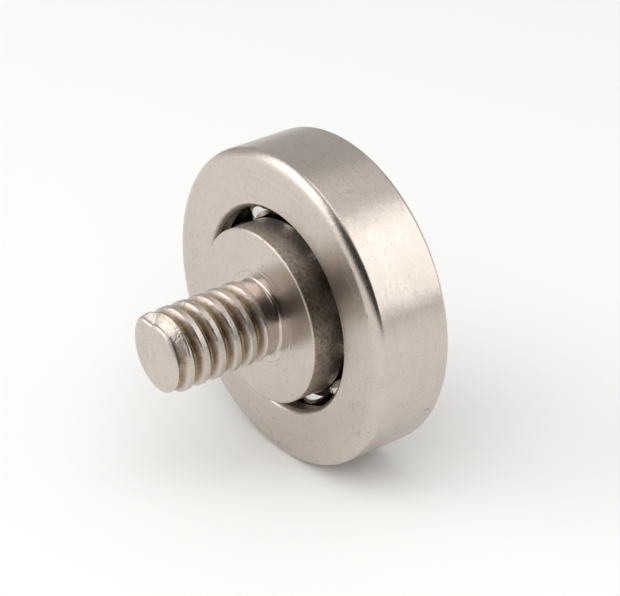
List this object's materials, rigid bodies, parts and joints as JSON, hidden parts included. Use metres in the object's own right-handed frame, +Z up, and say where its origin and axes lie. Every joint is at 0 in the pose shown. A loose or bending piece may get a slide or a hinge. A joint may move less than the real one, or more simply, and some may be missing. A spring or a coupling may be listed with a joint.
{
  "type": "cam follower",
  "caption": "Stud-type cam follower: a 19.05 mm steel ring rolls on a full row of 11 balls round a split inner race with a number 10-24 threaded stud.",
  "frame": {"origin": "centre of the shoulder face that seats against the bracket, on the stud's axis", "axes": "-Y along the threaded stud, towards its tip; +Y towards the riveted end; +Z up; the ring turns about Y"},
  "size_m": [0.019, 0.0133, 0.019],
  "materials": {
    "ring_steel": "satin turned stainless steel",
    "race_steel": "turned stainless steel, lightly stained",
    "stud_steel": "rolled thread in satin stainless steel",
    "ball_steel": "polished steel"
  },
  "bodies": {
    "stud": {"stud": "stud_steel", "front_race": "race_steel", "rear_race": "race_steel"},
    "outer_ring": {"outer_ring": "ring_steel"},
    "ball_row": {"ball_01": "ball_steel", "ball_02": "ball_steel", "ball_03": "ball_steel", "ball_04": "ball_steel", "ball_05": "ball_steel", "ball_06": "ball_steel", "ball_07": "ball_steel", "ball_08": "ball_steel", "ball_09": "ball_steel", "ball_10": "ball_steel", "ball_11": "ball_steel"}
  },
  "joints": [
    {"name": "ring_spin", "type": "hinge", "parent": "stud", "child": "outer_ring", "pos_m": [0, 0.00373, 0], "axis": [0, -1, 0], "continuous": true},
    {"name": "ball_row_orbit", "type": "hinge", "parent": "stud", "child": "ball_row", "pos_m": [0, 0.00373, 0], "axis": [0, -1, 0], "continuous": true}
  ],
  "couplings": [
    {"joint": "ball_row_orbit", "follows": "ring_spin", "ratio": 0.6397}
  ]
}
